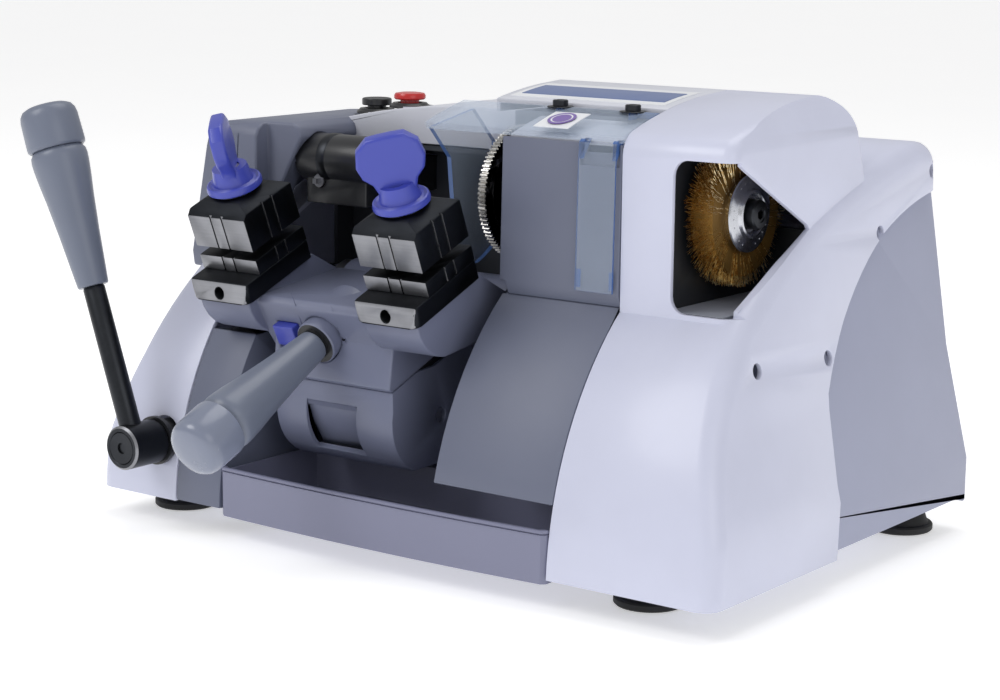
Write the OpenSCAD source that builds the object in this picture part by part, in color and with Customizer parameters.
// Bench key duplicating machine: clamps and handle on a tilting carriage, cutter and
// wire brush on one spindle, lateral lever at the left, chip tray at the front.

/* [Machine body] */
// Width of the machine over the skirt
body_w = 450; // [440:1:460]
// Distance from the machine centre line to the back
back_y = 152; // [150:1:156]
// Height of the skirt's lower edge over the bench
skirt_z = 17; // [15:1:20]
// Wall thickness of the covers
wall = 3; // [2.5:0.5:3.5]

/* [Spindle] */
// Diameter of the cutter wheel
cutter_d = 80; // [76:1:80]
// Thickness of the cutter wheel
cutter_t = 5; // [4:0.5:6]
// Number of teeth on the cutter wheel
cutter_teeth = 90; // [60:1:110]
// Diameter of the wire brush
brush_d = 84; // [70:1:84]

/* [Carriage] */
// Forward lean of the carriage at rest
rest_tilt = 22; // [20:0.5:22]
// Side of the square key jaws
jaw_w = 45.5; // [44:0.5:46]
// Distance between the two key clamps
clamp_gap = 128; // [126:1:128]
// Gap between the jaws
jaw_open = 6; // [5.6:0.1:6]

/* [Handles] */
// Diameter of the grip caps
cap_d = 36; // [32:1:36]
// Lean of the lateral lever to the left
lever_lean = 19.5; // [15:0.5:22]

/* [Hidden] */
$fn = 64;

half_w = body_w / 2;
floor_t = 5;                    // base plate thickness
plate_z = skirt_z + 3;          // underside of the base plate
floor_z = plate_z + floor_t;    // top of the base plate
apron_x = 120;                  // seam between the dark apron and the right cover
wall_x = 37.5;                  // left face of the dark centre wall
left_in = -122;                 // right face of the left apron
left_seam = -158;               // seam between the left cover and the left apron
hood_x = 191;                   // right cheek of the hood
face_y = -87;                   // front face of the hood and the shield

spin_y = -31;                   // spindle axis
spin_z = 209.5;
cutter_x = 11;
brush_x = 159;
pivot_y = -33;                  // carriage shaft axis
pivot_z = 138;
right_clamp = 2;                // clamp centre lines
left_clamp = right_clamp - clamp_gap;
handle_x = (right_clamp + left_clamp) / 2;
motor_y = 70;                   // motor axis
motor_z = 100;
lever_x = -174;                 // lateral lever axis
lever_z = 53;
lever_y = -172;                 // plane of the lateral lever
fit = 0.05;                     // radial running clearance
gap = 0.3;                      // clearance between moving faces

jaw_u = -65;                    // clamp axis in the upright carriage frame
base_w0 = 47;                   // heights above the carriage shaft, carriage upright
jaw_w0 = 59.5;
slot_w0 = 68.7;
slot_w1 = slot_w0 + jaw_open;
jaw_w1 = 98.3;
cap_w = 103;

// circle through three points, as a list of n + 1 points from a to c
function arc_centre(a, b, c) =
  let (d = 2 * (a.x * (b.y - c.y) + b.x * (c.y - a.y) + c.x * (a.y - b.y)))
  [((a * a) * (b.y - c.y) + (b * b) * (c.y - a.y) + (c * c) * (a.y - b.y)) / d,
   ((a * a) * (c.x - b.x) + (b * b) * (a.x - c.x) + (c * c) * (b.x - a.x)) / d];
function turn(from, to) = (to - from + 540) % 360 - 180;
function arc3(a, b, c, n = 10, inset = 0) =
  let (m = arc_centre(a, b, c), r = norm(a - m) - inset,
       t0 = atan2(a.y - m.y, a.x - m.x), dt = turn(t0, atan2(c.y - m.y, c.x - m.x)))
  [for (i = [0:n]) m + r * [cos(t0 + dt * i / n), sin(t0 + dt * i / n)]];

// outlines in the side view (y, z); t moves them inwards
step_pt = [-84.7, 158.2];
function front_arc(t) = arc3([-154.3, skirt_z + 1], [-139, 85.3], step_pt, 12, t);
function fender_arc(t) = arc3(step_pt, [-25, 193], [back_y, 243], 12, t);
function rest(v) = [for (i = [1:len(v) - 1]) v[i]];
function side_outline(t) = let (low = t > 0 ? skirt_z - 5 : skirt_z)
  concat([[-154.4 + t, low]], front_arc(t), rest(fender_arc(t)),
    [[back_y - t, 241 - t], [back_y - t, low]]);
function roof_arc(t) = concat(arc3([face_y, 253], [-36, 266.7], [14, 272.4], 8, t),
  rest(arc3([14, 272.4], [40, 268], [56, 252], 6, t)));
function hood_outline(t) = concat([[face_y + t, 150]], roof_arc(t), [[67 - t, 222], [67 - t, 150]]);

// outlines in the front view (x, z), for the right half
function skirt_outline(t, w) = [[0, 0], [half_w - t, 0], [half_w - t, 50],
  [half_w - w * 0.45 - t, 100], [half_w - w * 0.75 - t, 145], [half_w - w - t, 190],
  [half_w - w - 3 - t, 260], [0, 260]];
function hood_front(t) = concat([[0, 100], [hood_x + 2 - t, 150]],
  arc3([hood_x - t, 246], [hood_x - 5 - t, 262 - t], [hood_x - 22, 280 - t], 6), [[0, 290]]);

module along_x(x0, x1) translate([x0, 0, 0]) rotate([90, 0, 90]) linear_extrude(x1 - x0) children();
module along_y(y0, y1) translate([0, y1, 0]) rotate([90, 0, 0]) linear_extrude(y1 - y0) children();
module rod_x(x0, x1, r) translate([x0, 0, 0]) rotate([0, 90, 0]) cylinder(h = x1 - x0, r = r);
module rod_y(y0, y1, r) translate([0, y1, 0]) rotate([90, 0, 0]) cylinder(h = y1 - y0, r = r);
module at_spindle() translate([0, spin_y, spin_z]) children();
module at_shaft() translate([0, pivot_y, pivot_z]) children();
module at_motor() translate([0, motor_y, motor_z]) children();
module tilted() at_shaft() rotate([rest_tilt, 0, 0]) children();
module at_clamp(x) tilted() translate([x, jaw_u, 0]) children();
module block(a, b) translate(a) cube(b - a);

// outer form of the low part of a side cover, inset by t
module low_form(t, x0, x1, w) intersection() {
  along_x(x0, x1) polygon(side_outline(t));
  along_y(-200, 200) polygon(skirt_outline(t, w));
}

// region of the side panel, seen from the side
module panel_region(x0, x1) along_x(x0, x1)
  polygon(concat([[-20, 0], [-17, 60]], arc3([-8, 109], [45, 168], [146, 209], 12),
    [[300, 230], [300, 0]]));

module base_plate() color("dimgray") difference() {
  block([-205, -128, plate_z], [205, back_y - 8, floor_z]);
  block([left_in - 2, -130, plate_z - 1], [apron_x + 3, -60, floor_z + 1]);
  for (p = foot_places) translate([p.x, p.y, plate_z - 1]) cylinder(h = floor_t + 2, r = 4);
}

foot_places = [[156, -128 + 22], [190, 126], [-196, -106], [-190, 126]];
module feet() color("black") for (p = foot_places) translate([p.x, p.y, 0]) {
  cylinder(h = 5, r = 20);
  translate([0, 0, 5]) cylinder(h = plate_z - 5, r1 = 17, r2 = 13);
  translate([0, 0, plate_z]) cylinder(h = floor_t + 3, r = 3.9);
}

module right_cover() color("lavender") {
  difference() {
    union() {
      low_form(0, apron_x, half_w, 30);
      intersection() {
        along_x(apron_x, hood_x + 2) polygon(hood_outline(0));
        along_y(-100, 100) polygon(hood_front(0));
      }
    }
    low_form(wall, apron_x - 1, half_w, 30);
    intersection() {
      along_x(apron_x - 1, hood_x) polygon(hood_outline(wall));
      along_y(-100, 100) polygon(hood_front(wall));
    }
    panel_region(apron_x - 1, half_w + 1);
    brush_window();
    side_screw_holes(1, 4.2);
  }
}

// opening in the hood in front of and beside the brush
window_x = 153;
window_z = 159;
module brush_window() {
  block([window_x, face_y - 1, window_z], [hood_x + 10, face_y + 30, 243]);
  along_x(hood_x - 20, hood_x + 12)
    polygon([[face_y - 2, window_z], [face_y - 2, 245], [-78, 245], [-2, 203], [-86, window_z]]);
}

screw_places = [[-80, 132, 205.1], [-3, 128, 205.9], [75, 190, 195], [143, 221, 193.7]];
module side_screw_holes(side, r) for (p = screw_places)
  translate([side * p.z, p.x, p.y]) rotate([0, 90, 0]) cylinder(h = 60, r = r, center = true);

module left_cover() color("lavender") difference() {
  mirror([1, 0, 0]) low_form(0, -left_seam, half_w, 30);
  mirror([1, 0, 0]) low_form(wall, -left_seam - 1, half_w, 30);
  mirror([1, 0, 0]) panel_region(150, half_w + 1);
  head_form(-gap);
  translate([lever_x, 0, lever_z]) rod_y(-170, -130, 12.2);
  intersection() {
    panel_seat();
    block([-190, -30, 224], [-150, back_y + 2, 280]);
  }
  side_screw_holes(-1, 4.2);
}

module cover_screws() color("dimgray") for (side = [-1, 1], p = screw_places)
  translate([side * (p.z - 14), p.x, p.y]) rotate([0, side * 90, 0]) {
    cylinder(h = 7, r = 2.1);
    translate([0, 0, 6]) cylinder(h = 4, r = 3.6);
  }

// grey casing behind the side covers, with the back wall
module casing_form(t) intersection() {
  along_x(-half_w, half_w) polygon(concat([[-60 + t, skirt_z]],
    [for (p = fender_arc(9 + t)) if (p.x > -50) p],
    [[back_y - t, 228 - t], [back_y - t, 114], [back_y - t, skirt_z]]));
  union() for (m = [0, 1]) mirror([m, 0, 0])
    along_y(-200, 200) polygon([[-1, 0], [half_w - 4 - t, 0], [half_w - 4 - t, 45],
      [204 - t, 114], [189 - t, 208], [186 - t, 260], [-1, 260]]);
}
module rear_cover() color("slategray") difference() {
  casing_form(0);
  casing_form(wall);
  block([-240, -70, skirt_z - 1], [240, back_y - wall, skirt_z + wall]);
  block([-184, -70, floor_z + 8], [184, -40, 250]);
  block([-206, -70, skirt_z - 1], [206, -50, 34]);
  block([-184, -61, 150], [184, 30, 250]);
  block([-205, -70, floor_z + gap], [-165, -45, 84]);
  block([-215, -70, 60], [-165, -45, 84]);
  block([apron_x - 1, back_y - 4, 207.8], [200, back_y + 1, 240]);
  block([-200, back_y - 4, 207.8], [-186, back_y + 1, 240]);
  panel_seat();
  side_screw_holes(1, 3.8);
  side_screw_holes(-1, 3.8);
  translate([150, 0, 45]) rod_y(back_y - 10, back_y + 10, 13);
  for (z = [130:12:190]) block([-60, back_y - 10, z], [60, back_y + 5, z + 5]);
}

module left_head() color("dimgray") difference() {
  head_form(0);
  head_form(wall);
  block([-230, -84 + wall, 140], [-100, 60, 152]);
  block([-176, -60, 140], [-100, 60, 225]);
  translate([0, barrel_y, barrel_z]) rod_x(-134, -70, barrel_r + gap);
  panel_seat();
}
module panel_seat() block([-186.4, -22.4, 204], [0, back_y + 1, 270]);
module head_form(t) intersection() {
  along_y(-87 + t, 40) polygon([[-209 + t, 150], [-192 + t, 236 - t], [-186 + t, 243 - t],
    [-132 - t, 246 - t], [-124 - t, 238 - t], [-160 - t, 170], [-170 - t, 150]]);
  along_x(-230, -100) polygon([[-90, 140], [-87 + t, 238], [-80, 244 - t], [-20, 250 - t],
    [40, 250 - t], [40, 217], [0, 206], [-40, 190], [-84, 160], [-84, 140]]);
  difference() {
    block([-240, -100, 130], [-100, 60, 260]);
    block([-151 - t, -101, 120], [-90, -75.4 + t, 270]);
  }
}

// dark well behind the carriage
module tool_well() color("darkslategray") difference() {
  union() {
    block([left_seam + 0.6, 10, 60], [wall_x - 0.5, 10 + wall, 228]);
    block([left_seam + 0.6, -20, 228], [-1, 10 + wall, 231]);
    block([-2, 6, 228], [wall_x - 0.5, 10 + wall, 231]);
    block([left_seam + 0.6, -6, 60], [left_seam + 0.6 + wall, 10, 228]);
  }
  block([-122.4, 5, spin_z - 10.4], [-85.6, 14, spin_z + 12.4]);
}

// dark wall under the shield and the apron below it
apron_face = [for (p = front_arc(0)) if (p.y > 46) p];
apron_back = [for (p = front_arc(wall)) if (p.y > 46) p];
module centre_wall() color("dimgray") {
  difference() {
    union() {
      along_x(wall_x, apron_x - 0.5) polygon([[-85, 158], [-88, 166], [-86, 248], [-80, 258],
        [-80 + wall, 258], [-83, 247], [-84.5, 166], [-81, 158]]);
      along_x(wall_x, wall_x + 2.3) polygon([[-81, 158], [-84, 200], [-82, 247], [-77, 257],
        [0, 257], [0, 60], [-118, 60], [-118, 118]]);
    }
    translate([0, spin_y, spin_z]) rod_x(wall_x - 1, wall_x + wall + 1, 16);
    block([wall_x - 1, spin_y - 60, 158], [wall_x + wall + 1, spin_y - 42, 166]);
    at_shaft() rod_x(wall_x - 1, wall_x + 4, 9 + gap);
    along_x(wall_x - 1, apron_x) polygon(concat(ledge(-3), ledge_back(13)));
    block([91.6, -92, 236], [117.4, -83.7, 251]);
  }
  along_x(wall_x, apron_x - 0.5)
    polygon(concat(apron_face, [for (i = [len(apron_back) - 1:-1:0]) apron_back[i]]));
}

module left_apron() color("slategray") {
  difference() {
    low_left(0);
    low_left(wall);
    block([-124, -63, 74.8], [-121, -59, 85.2]);
    along_x(left_seam, left_in + 1) polygon([[-160, 134], [-136, 125], [-118, 119.5], [-93, 123], [-50, 133],
      [-50, 170], [-160, 170]]);
  }
}
module low_left(t) along_x(left_seam + 0.5, left_in - t / 3)
  polygon(concat(front_arc(t), [[-80 + t, 158 - t], [-60, 158 - t], [-60, skirt_z]]));

// crowned top panel at the left with the two push buttons
function crown(t) = concat([[-186, 226 - t]], arc3([-178, 233 - t], [-70, 255 - t], [-0.5, 257 - t], 12),
  [[-0.5, 205]], [[-186, 205]]);
module crown_form(t) intersection() {
  along_y(-22, back_y - 1) polygon(crown(t));
  along_x(-200, 0) polygon(concat(arc3([-22, 258 - t], [60, 257 - t], [back_y - 1, 243 - t], 8),
    [[back_y - 1, 229], [60, 225], [12, 232], [-22, 232]]));
}
start_at = [-128, 2];
stop_at = [-101, 2];
start_z = 246.5;
stop_z = 251.5;
module button_panel() color("gainsboro") difference() {
  crown_form(0);
  intersection() {
    crown_form(wall);
    block([-183, -19, 200], [-0.5 - wall, back_y - 4, 300]);
  }
  block([-183, -19, 200], [-0.5 - wall, back_y - 4, 240]);
  for (p = [[start_at, start_z], [stop_at, stop_z]]) translate([p[0].x, p[0].y, 0]) {
    translate([0, 0, 200]) cylinder(h = 80, r = 8.1);
    translate([0, 0, p[1]]) cylinder(h = 30, r = 13.2);
  }
}

// light roof between the button panel and the hood
module centre_roof() color("gainsboro") {
  intersection() {
    difference() {
      along_x(0, apron_x - 0.3) polygon(hood_outline(0));
      along_x(wall, apron_x - wall) polygon(hood_outline(wall));
      block([-1, -100, 100], [apron_x + 1, 80, 257.5]);
    }
    block([-1, -42, 200], [apron_x + 1, 80, 300]);
  }
  difference() {
    along_x(wall_x, apron_x - 0.5) polygon([for (p = concat(ledge(6.2), ledge_back(9))) p]);
    block([wall_x - 1, -100, 200], [apron_x, -79, 300]);
    for (x = shield_screw_x) translate([x, -50, 200]) cylinder(h = 80, r = 2.6);
  }
  block([0, 51, 232], [apron_x - 0.3, 54, 257.5]);
}
function ledge(t) = [for (p = roof_arc(t)) if (p.x < -42) p];
function ledge_back(t) = let (l = ledge(t)) [for (i = [len(l) - 1:-1:0]) l[i]];

// clear guard: top plate, cheek at the left of the cutter and curved chip channel
module shield() color([0.6, 0.7, 0.9, 0.4]) difference() {
  union() {
    along_x(cheek_x, apron_x - 0.5) polygon(concat(ledge(0), ledge_back(4)));
    along_x(cheek_x, cheek_x + wall) polygon(concat([[-84, 250], [-66, 231], [-63, 206]],
      arc3([-62, 188], [-54, 174], [-42, 165], 5), arc3([-38, 165.5], [-24, 173], [-12, 183], 4),
      [[-10, 225], [-43, 258]]));
    for (x = [92, 114]) along_x(x, x + 3) polygon([[-90.5, 166], [-88.3, 249],
      [-86, 250.5], [-80, 250.5], [-89.2, 238], [-89.2, 168]]);
    along_x(92, 117) polygon([[-90.9, 166], [-89.2, 238], [-88.3, 249], [-87, 249], [-88.2, 238], [-89.4, 166]]);
  }
  block([cheek_x - 1, -22.4, 224], [cheek_x + wall + 1, 0, 270]);
  for (x = shield_screw_x) translate([x, -50, 200]) cylinder(h = 80, r = 2.6);
}
cheek_x = -18;
shield_screw_x = [52, 102];
module shield_screws() color("gray") for (x = shield_screw_x) translate([x, -50, 247]) difference() {
  union() {
    cylinder(h = 18, r = 2.5);
    translate([0, 0, 17]) cylinder(h = 3, r = 4.5);
  }
  translate([0, 0, 17.5]) cylinder(h = 4, r = 2, $fn = 6);
}

// dark liner of the brush recess
module brush_liner() color("darkslategray") {
  difference() {
    block([window_x - 9, face_y + 6, window_z - 3], [window_x - 6, 25, 250]);
    translate([0, spin_y, spin_z]) rod_x(window_x - 12, window_x, 9);
  }
  block([window_x - 6, face_y + 6, window_z - 3], [hood_x - 8, 25, window_z]);
  block([window_x - 6, 22, window_z], [hood_x - 12, 25, 210]);
}

shaft_x0 = -180;
shaft_x1 = 52;
module shaft_supports() color("silver") for (x = [-166, 46]) difference() {
  union() {
    block([x - 6, pivot_y - 16, floor_z], [x + 6, pivot_y + 16, pivot_z]);
    at_shaft() rod_x(x - 6, x + 6, 16);
    block([x - 6, pivot_y - 16, floor_z], [x + 6, pivot_y + 30, floor_z + 8]);
  }
  at_shaft() rod_x(x - 7, x + 7, 9);
}
module carriage_shaft() color("silver") at_shaft() rod_x(-172, 52, 9);

module motor_body() color("gray") {
  difference() {
    union() {
      at_motor() rod_x(-40, 72, 44);
      at_motor() rod_x(-46, -40, 30);
      for (i = [0:11]) at_motor() rotate([i * 30, 0, 0]) block([-30, 43, -2], [62, 47, 2]);
      block([-30, motor_y - 46, floor_z], [62, motor_y + 46, floor_z + 6]);
      for (x = [-20, 42]) block([x, motor_y - 30, floor_z], [x + 10, motor_y + 30, motor_z - 30]);
    }
    at_motor() rod_x(-47, 73, 6 + fit);
  }
}
module motor_shaft() color("silver") at_motor() rod_x(-44, 108, 6);
module pulley(x0, x1, r, bore) difference() {
  union() {
    rod_x(x0, x0 + 2, r + 3);
    rod_x(x0 + 2, x1 - 2, r);
    rod_x(x1 - 2, x1, r + 3);
  }
  rod_x(x0 - 1, x1 + 1, bore);
}
motor_pulley_r = 22;
spindle_pulley_r = 22;
module motor_pulley() color("silver") at_motor() pulley(88, 102, motor_pulley_r, 6);
module spindle_pulley() color("silver") at_spindle() pulley(88, 102, spindle_pulley_r, 8);

// belt round two equal pulleys
belt_len = norm([motor_y - spin_y, motor_z - spin_z]);
belt_ang = atan2(motor_z - spin_z, motor_y - spin_y);
module belt_disc(x0, x1, r) {
  rod_x(x0, x1, r);
  rotate([belt_ang, 0, 0]) translate([0, belt_len, 0]) rod_x(x0, x1, r);
  rotate([belt_ang, 0, 0]) block([x0, 0, -r], [x1, belt_len, r]);
}
module drive_belt() color("black") at_spindle() difference() {
  belt_disc(90.5, 99.5, motor_pulley_r + 2.5);
  belt_disc(90, 100, motor_pulley_r + gap);
}

house_x0 = 45;
house_x1 = 84;
module spindle_housing() color("silver") difference() {
  union() {
    at_spindle() rod_x(house_x0, house_x1, 24);
    block([house_x0 + 4, spin_y - 18, floor_z], [house_x1 - 4, spin_y + 14, spin_z]);
    block([house_x0 - 1, spin_y - 32, floor_z], [house_x1 + 8, spin_y + 34, floor_z + 10]);
  }
  at_spindle() rod_x(house_x0 - 1, house_x1 + 1, 17);
  at_shaft() rod_x(house_x0 - 2, 52.2, 9.2);
  block([house_x0 - 2, pivot_y - 16.2, floor_z - 1], [52.2, pivot_y + 16.2, pivot_z]);
  at_shaft() rod_x(house_x0 - 2, 52.2, 16.2);
  block([house_x0 - 2, pivot_y - 16.2, floor_z - 1], [52.2, pivot_y + 30.2, floor_z + 8.2]);
}
module spindle_bearings() color("gray") for (x = [house_x0 + 1, house_x1 - 11])
  at_spindle() difference() {
    rod_x(x, x + 10, 17);
    rod_x(x - 1, x + 11, 8 + fit);
  }
module spindle_shaft() color("silver") at_spindle() {
  rod_x(cutter_x + cutter_t / 2 + 4, brush_x - 8, 8);
  rod_x(cutter_x - 10, cutter_x + cutter_t / 2 + 4, 6);
  rod_x(brush_x - 8, brush_x + 9, 5);
}
module cutter_wheel() color("silver") at_spindle() difference() {
  rod_x(cutter_x - cutter_t / 2, cutter_x + cutter_t / 2, cutter_d / 2);
  rod_x(cutter_x - cutter_t, cutter_x + cutter_t, 6);
  for (i = [0:cutter_teeth - 1]) rotate([i * 360 / cutter_teeth, 0, 0])
    translate([cutter_x - cutter_t, cutter_d / 2 - 1.6, -0.5]) cube([2 * cutter_t, 3, 1]);
}
module cutter_nut() color("dimgray") at_spindle() difference() {
  union() {
    rod_x(cutter_x - cutter_t / 2 - 2, cutter_x - cutter_t / 2, 14);
    rod_x(cutter_x - cutter_t / 2 - 9, cutter_x - cutter_t / 2 - 2, 10);
    rod_x(cutter_x + cutter_t / 2, cutter_x + cutter_t / 2 + 4, 16);
  }
  rod_x(cutter_x - 20, cutter_x + 20, 6);
}
module brush_bristles() color("goldenrod") at_spindle() difference() {
  rod_x(brush_x - 9, brush_x + 9, brush_d / 2);
  rod_x(brush_x - 10, brush_x + 10, 20);
}
module brush_flanges() color("silver") at_spindle() difference() {
  union() {
    rod_x(brush_x - 8, brush_x + 8, 20);
    rod_x(brush_x + 9, brush_x + 10.5, 22);
    rod_x(brush_x - 10.5, brush_x - 9, 22);
    rod_x(brush_x - 9, brush_x - 8, 20);
    rod_x(brush_x + 8, brush_x + 9, 20);
  }
  rod_x(brush_x - 12, brush_x - 8, 8);
  rod_x(brush_x - 12, brush_x + 12, 5);
}
module brush_screw() color("black") at_spindle() difference() {
  union() {
    rod_x(brush_x + 10.5, brush_x + 17, 8.5);
    rod_x(brush_x + 9, brush_x + 11, 4.9);
  }
  rotate([0, 90, 0]) translate([0, 0, brush_x + 12.5]) cylinder(h = 6, r = 3, $fn = 6);
}

// black barrel and block that carry the tracer
tracer_x = left_clamp + cutter_x - right_clamp;
tip_y = spin_y - cutter_d / 2 - 0.5;
barrel_y = -57;
barrel_z = 223;
barrel_r = 15;
module tracer_holder() color("black") difference() {
  union() {
    translate([0, barrel_y, barrel_z]) rod_x(-133, -76, barrel_r);
    block([-128, barrel_y - 9, spin_z - 14], [-80, -14, barrel_z]);
    block([-122, -14.5, spin_z - 10], [-86, 11.8, spin_z + 12]);
  }
  translate([tracer_x, 0, spin_z]) rod_y(barrel_y - 20, -20, 4 + fit);
}
module tracer_stylus() color("silver") translate([tracer_x, 0, spin_z]) {
  rod_y(tip_y + 4, -22, 4);
  block([-1.5, tip_y, -1.5], [1.5, tip_y + 4, 1.5]);
}

module lever_bush() color("black") translate([lever_x, 0, lever_z]) difference() {
  union() {
    rod_y(-156, -138, 12);
    rod_y(-156, -153, 15);
  }
  rod_y(-160, -130, 7 + fit);
}
module mains_inlet() color("black") translate([150, 0, 45]) difference() {
  union() {
    rod_y(back_y - 9, back_y, 12.8);
    rod_y(back_y, back_y + 3, 16);
  }
  rod_y(back_y - 4, back_y + 4, 6);
}
module bezel(x, y, z) translate([x, y, z]) difference() {
  union() {
    cylinder(h = 3, r = 13);
    translate([0, 0, -12]) cylinder(h = 13, r = 8);
  }
  translate([0, 0, -13]) cylinder(h = 20, r = 6 + fit);
}
module button_bezels() color("black") {
  bezel(start_at.x, start_at.y, start_z);
  bezel(stop_at.x, stop_at.y, stop_z);
}
module push_button(x, y, z, r) translate([x, y, z]) {
  translate([0, 0, -10]) cylinder(h = 15, r = 6);
  translate([0, 0, 5]) cylinder(h = 4.5, r = r);
}
module start_button() color("black") push_button(start_at.x, start_at.y, start_z, 9.5);
module stop_button() color("red") push_button(stop_at.x, stop_at.y, stop_z, 10);

// spring between the left support and the slide, as a plain sleeve of its outer size
spring_x0 = -159.8;
spring_x1 = -128.2;
module return_spring() color("silver") at_shaft() difference() {
  rod_x(spring_x0, spring_x1, 15);
  rod_x(spring_x0 - 1, spring_x1 + 1, 11.5);
}

sleeve_r = 13;
hanger_x0 = -124;
hanger_x1 = -116.2;
module slide_sleeve() color("silver") at_shaft() difference() {
  union() {
    rod_x(-128, 22, sleeve_r);
    rod_x(-128, hanger_x0, sleeve_r + 3);
  }
  rod_x(-130, 30, 9 + fit);
}

// rack under the sleeve, and the pinion of the lateral lever in mesh with it
tooth_module = 2;
pinion_teeth = 20;
pinion_r = tooth_module * pinion_teeth / 2;
pitch = PI * tooth_module;
rack_z = lever_z + pinion_r;
rack_y0 = -62;
rack_y1 = -50;
module tooth(height) polygon([[-1.7, -0.5], [-1.55, 0], [-0.75, height], [0.75, height],
  [1.55, 0], [1.7, -0.5]]);
module slide_rack() color("silver") {
  difference() {
    union() {
      at_shaft() rod_x(hanger_x0, hanger_x1, sleeve_r + 5);
      along_x(hanger_x0, hanger_x1) polygon([[rack_y0, rack_z + 4], [rack_y1, rack_z + 4],
        [pivot_y + 4, pivot_z - 15], [pivot_y - 14, pivot_z - 4]]);
    }
    at_shaft() rod_x(hanger_x0 - 1, hanger_x1 + 1, sleeve_r);
  }
  block([lever_x - 25.5, rack_y0, rack_z + 2.4], [hanger_x1, rack_y1, rack_z + 9]);
  for (i = [-3.5:1:4.5]) translate([lever_x + i * pitch, 0, rack_z + 2.4])
    along_y(rack_y0, rack_y1) mirror([0, 1]) tooth(4.1);
}
module lever_pinion() color("silver") translate([lever_x, 0, lever_z]) difference() {
  union() {
    rod_y(rack_y0 - 1, rack_y1 + 1, pinion_r - 2.3);
    for (i = [0:pinion_teeth - 1]) rotate([0, i * 360 / pinion_teeth, 0])
      along_y(rack_y0 - 1, rack_y1 + 1) translate([0, pinion_r - 2.4]) tooth(4.1);
  }
  rod_y(rack_y0 - 2, rack_y1 + 2, 7);
}

// casting that carries the two clamps; outlines in the upright carriage frame (y, z)
drum_x0 = handle_x - 38;
drum_x1 = -10;
arm_w = 20;
pocket_x = handle_x - 26;
module carriage_body() color("slategray") tilted() difference() {
  union() {
    rod_x(hanger_x1 + 0.7, 20, 20);
    for (x = [left_clamp, right_clamp]) along_x(x - arm_w, x + arm_w)
      polygon(concat(arc3([-100.5, base_w0], [-97, 30], [-84, 18], 5), [[-60, 12], [-24, 7.9],
        [-18, 24], [-38, base_w0]]));
    along_x(left_clamp + arm_w - 1, right_clamp - arm_w + 1)
      polygon([[-90.5, 20], [-93, 44], [-89, 47], [-19, 27], [-12, 15], [-19, -8], [-60, -6], [-86, 2]]);
    along_x(drum_x0, drum_x1)
      polygon([[-90.5, 24], [-103, 2], [-101, -1], [-60, -1], [-20, -1], [-20, 20]]);
    translate([handle_x, 0, handle_w]) rotate([handle_droop, 0, 0]) rod_y(handle_u, -60, 17);
  }
  translate([handle_x, 0, handle_w]) rotate([handle_droop, 0, 0]) rod_y(-120, handle_u, 13.8);
  rod_x(-140, 40, sleeve_r + fit);
  rod_x(hanger_x0 - 30, hanger_x1 + 0.7, 20);
  translate([pocket_x, 0, 0]) block([-8.3, -110, 14.7], [8.3, -80, 31.3]);
  translate([handle_x, 0, handle_w]) rotate([handle_droop, 0, 0]) rod_y(-120, -70, 6);
  for (x = [left_clamp, right_clamp]) translate([x, jaw_u, 20]) cylinder(h = 40, r = 6);
}

// drum shaped skirt below the casting
module carriage_skirt() color("slategray") tilted() difference() {
  along_x(drum_x0, drum_x1) polygon(concat([[-101, -1.2]], arc3([-105, -12], [-110, -38], [-101, -55], 8),
    [[-72, -66], [-40, -62], [-22, -40], [-20, -1.2]]));
  along_x(drum_x0 + wall, drum_x1 - wall) polygon(concat([[-98, 1]],
    arc3([-102, -12], [-106.5, -38], [-98, -53], 8), [[-60, -58], [-20, -70], [-10, 1]]));
  block([drum_x0 + wall, -75, -70], [drum_x1 - wall, -10, -55]);
  along_x(left_clamp, right_clamp) polygon([[-90, 6], [-86.3, 1.8], [-60, -6.3], [-19, -8.3], [-10, 6]]);
  translate([0, -66, -37]) rod_x(drum_x1 - 4, drum_x1 + 1, 4.5);
  block([drum_x0 + 24, -115, -44], [drum_x0 + 62, -104.5, -12]);
}

handle_w = 28;
handle_droop = 2;
handle_u = -91;
module at_handle() tilted() translate([handle_x, 0, handle_w]) rotate([handle_droop, 0, 0])
  translate([0, handle_u, 0]) rotate([90, 0, 0]) children();
module handle_rod() color("slategray") at_handle() {
  translate([0, 0, -20]) cylinder(h = 20, r = 6);
  cylinder(h = 10, r = 13.5);
  translate([0, 0, 10]) cylinder(h = 84, r = 6);
}

// moulded grip: a tapered body and a crowned cap, along +z from its lower end
grip_l = 86;
cap_l = 28;
module grip_body() difference() {
  rotate_extrude() polygon([[0, 0], [9.5, 0], [10.3, 3], [17.4, grip_l - 12], [17.4, grip_l - 6],
    [16, grip_l], [0, grip_l]]);
  translate([0, 0, -1]) cylinder(h = grip_l + 2, r = 6);
}
cap_outline = concat([[cap_d / 2 - 0.8, 0], [cap_d / 2, 1], [cap_d / 2 - 0.4, cap_l - 6]],
  [for (a = [20:14:90]) [cap_d / 2 - 6 + 5.6 * cos(a), cap_l - 6 + 6 * sin(a)]]);
module grip_cap() rotate_extrude() polygon(concat([[0, 0]], cap_outline, [[0, cap_l + 0.4]]));
module handle_grip() color("lightslategray") at_handle() translate([0, 0, 10]) grip_body();
module handle_cap() color("lightsteelblue") at_handle() translate([0, 0, 10 + grip_l]) grip_cap();

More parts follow.
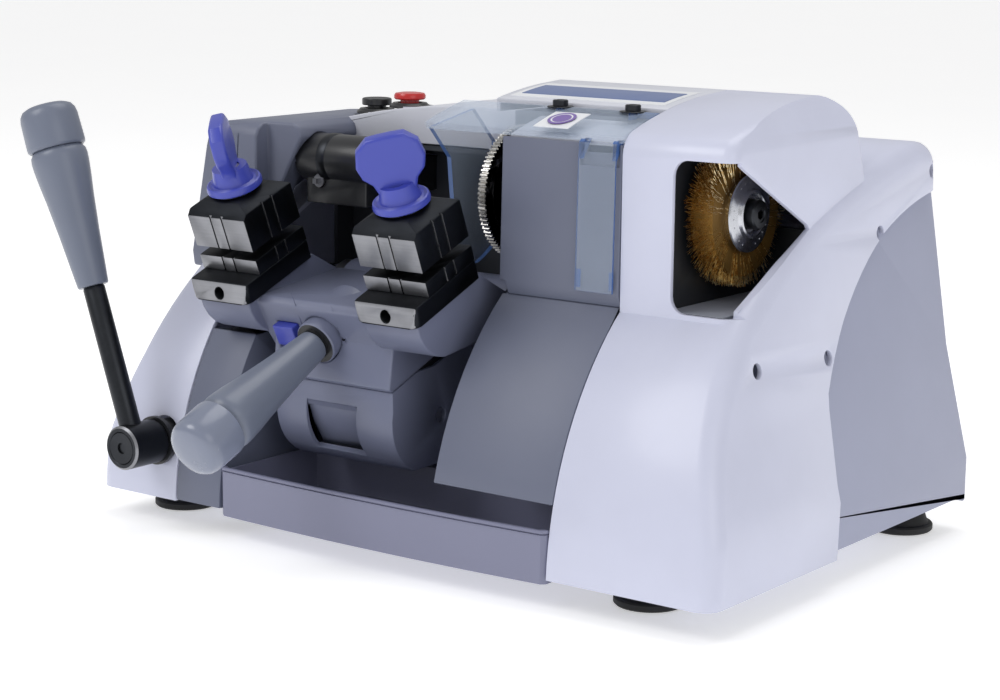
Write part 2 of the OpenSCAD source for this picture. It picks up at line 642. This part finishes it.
module lever_axis() translate([lever_x, lever_y, lever_z]) rotate([0, -lever_lean, 0]) children();
module lever_hub() color("dimgray") difference() {
  translate([lever_x, 0, lever_z]) {
    rod_y(lever_y - 12, -156.3, 13.5);
    rod_y(-157, rack_y1 + 0.5, 7);
  }
  lever_axis() translate([0, 0, 4]) cylinder(h = 30, r = 6.7);
}
module lever_rod() color("black") lever_axis() {
  translate([0, 0, 4]) cylinder(h = 96, r = 6.7);
  translate([0, 0, 100]) cylinder(h = 84, r = 6);
}
module lever_grip() color("lightslategray") lever_axis() translate([0, 0, 100]) grip_body();
module lever_cap() color("lightslategray") lever_axis() translate([0, 0, 100 + grip_l]) grip_cap();

// key clamps
module column(w, r, z0, z1) translate([0, 0, z0]) linear_extrude(z1 - z0) {
  square([w, w - 2 * r], center = true);
  square([w - 2 * r, w], center = true);
  for (x = [-1, 1], y = [-1, 1]) translate([x, y] * (w / 2 - r)) circle(r = r);
}
base_front = -104 - jaw_u;
module clamp_bases() color("gray") for (x = [left_clamp, right_clamp]) at_clamp(x) difference() {
  union() {
    intersection() {
      along_x(-jaw_w / 2, jaw_w / 2) polygon([[base_front, base_w0], [base_front + 3.5, jaw_w0 - 0.2],
        [10, jaw_w0 - 0.2], [10, base_w0]]);
      translate([0, -16.2, 0]) column(jaw_w, 6, base_w0, jaw_w0);
    }
    block([-jaw_w / 2, 0, base_w0], [jaw_w / 2, jaw_w / 2, jaw_w0 - 0.2]);
  }
  translate([0, 0, base_w0 - 1]) cylinder(h = 30, r = 6);
  translate([0, 0, base_w0 + 5.5]) rod_y(-60, base_front + 8, 3.5);
}
module clamp_studs() color("silver") for (x = [left_clamp, right_clamp]) at_clamp(x)
  translate([0, 0, 20]) cylinder(h = 98, r = 6);
module jaw_grooves(z0, z1) for (a = [0:90:270]) rotate(a) for (x = [-4.5, 4.5])
  translate([x - 0.6, -jaw_w / 2 - 1, z0 - 1]) cube([1.2, 2, z1 - z0 + 2]);
module lower_jaw(x) at_clamp(x) difference() {
  translate([-jaw_w / 2, -jaw_w / 2, jaw_w0]) cube([jaw_w, jaw_w, slot_w0 - jaw_w0]);
  translate([0, 0, jaw_w0 - 1]) cylinder(h = 30, r = 6 + fit);
  jaw_grooves(jaw_w0, slot_w0);
}
module upper_jaw(x) at_clamp(x) difference() {
  intersection() {
    along_x(-jaw_w / 2, jaw_w / 2) polygon(bevel_outline());
    along_y(-jaw_w / 2, jaw_w / 2) polygon(bevel_outline());
  }
  translate([0, 0, slot_w1 - 1]) cylinder(h = 50, r = 6 + fit);
  jaw_grooves(slot_w1, jaw_w1);
}
function bevel_outline() = [[-jaw_w / 2, slot_w1], [jaw_w / 2, slot_w1], [jaw_w / 2, jaw_w1],
  [jaw_w / 2 - 9, cap_w], [9 - jaw_w / 2, cap_w], [-jaw_w / 2, jaw_w1]];
module left_lower_jaw() color("gray") lower_jaw(left_clamp);
module right_lower_jaw() color("gray") lower_jaw(right_clamp);
module left_upper_jaw() color("gray") upper_jaw(left_clamp);
module right_upper_jaw() color("gray") upper_jaw(right_clamp);

// wing knob with a round flange
knob_w0 = cap_w + 1.5;
module knob(x, angle) at_clamp(x) rotate([0, 0, angle]) difference() {
  union() {
    translate([0, 0, knob_w0]) cylinder(h = 5, r = 17);
    translate([0, 0, knob_w0 + 5]) cylinder(h = 9, r = 12);
    along_y(-4.5, 4.5) translate([0, knob_w0]) polygon([[-10, 4], [-12, 15], [-19, 21], [-20, 28],
      [-18, 38], [-12, 44], [12, 44], [18, 38], [20, 28], [19, 21], [12, 15], [10, 4]]);
  }
  translate([0, 0, knob_w0 - 1]) cylinder(h = 16, r = 6 + fit);
}
module left_knob() color("royalblue") knob(left_clamp, -53);
module right_knob() color("royalblue") knob(right_clamp, 37);

module release_button() color("royalblue") tilted() translate([pocket_x, 0, 0])
  along_x(-8, 8) polygon([[-96, 18], [-97, 31], [-84, 31], [-84, 15], [-93, 15]]);

// chip tray
tray_w0 = left_in + 0.8;
tray_w1 = apron_x - 0.8;
tray_z0 = 14;
tray_z1 = 42;
function tray_plan(t) = concat([[tray_w1 - t, -66 - t], [tray_w1 - t, -152 + t]],
  arc3([tray_w1 - t - 3, -154.5 + t], [0, -158.5 + t], [tray_w0 + t + 3, -154.5 + t], 14),
  [[tray_w0 + t, -152 + t], [tray_w0 + t, -66 - t]]);
module chip_tray() color("slategray") {
  difference() {
    translate([0, 0, tray_z0]) linear_extrude(tray_z1 - tray_z0) polygon(tray_plan(0));
    translate([0, 0, tray_z0 + 2]) linear_extrude(tray_z1) polygon(tray_plan(2.2));
  }
  difference() {
    translate([0, 0, tray_z1]) linear_extrude(2.5) polygon(tray_plan(-0.3));
    translate([0, 0, tray_z1 - 1]) linear_extrude(5) polygon(tray_plan(2.4));
    block([-200, -150, tray_z1 - 2], [200, 0, tray_z1 + 4]);
  }
}

// centre of the whole outline, on the bench
function cap_reach(angle) = max([for (p = cap_outline) p.y * cos(angle) + p.x * sin(angle)]);
left_end = lever_x - (100 + grip_l) * sin(lever_lean) - cap_reach(90 - lever_lean);
droop = rest_tilt + handle_droop;
front_end = pivot_y - handle_w * sin(rest_tilt) + (handle_u - 10 - grip_l) * cos(droop) - cap_reach(droop);
origin_x = (left_end + half_w) / 2;
origin_y = (front_end + back_y + 3) / 2;
module placed() translate([-origin_x, -origin_y, 0]) children();

placed() base_plate();
placed() feet();
placed() left_cover();
placed() right_cover();
placed() rear_cover();
placed() left_head();
placed() tool_well();
placed() centre_wall();
placed() left_apron();
placed() button_panel();
placed() centre_roof();
placed() shield();
placed() shield_screws();
placed() brush_liner();
placed() cover_screws();
placed() shaft_supports();
placed() carriage_shaft();
placed() motor_body();
placed() spindle_housing();
placed() spindle_bearings();
placed() drive_belt();
placed() tracer_holder();
placed() tracer_stylus();
placed() lever_bush();
placed() mains_inlet();
placed() button_bezels();
placed() return_spring();
placed() spindle_shaft();
placed() cutter_wheel();
placed() cutter_nut();
placed() brush_bristles();
placed() brush_flanges();
placed() brush_screw();
placed() spindle_pulley();
placed() motor_shaft();
placed() motor_pulley();
placed() slide_sleeve();
placed() slide_rack();
placed() carriage_body();
placed() carriage_skirt();
placed() clamp_bases();
placed() clamp_studs();
placed() handle_rod();
placed() handle_grip();
placed() handle_cap();
placed() left_lower_jaw();
placed() right_lower_jaw();
placed() left_upper_jaw();
placed() right_upper_jaw();
placed() left_knob();
placed() right_knob();
placed() release_button();
placed() lever_hub();
placed() lever_pinion();
placed() lever_rod();
placed() lever_grip();
placed() lever_cap();
placed() chip_tray();
placed() start_button();
placed() stop_button();
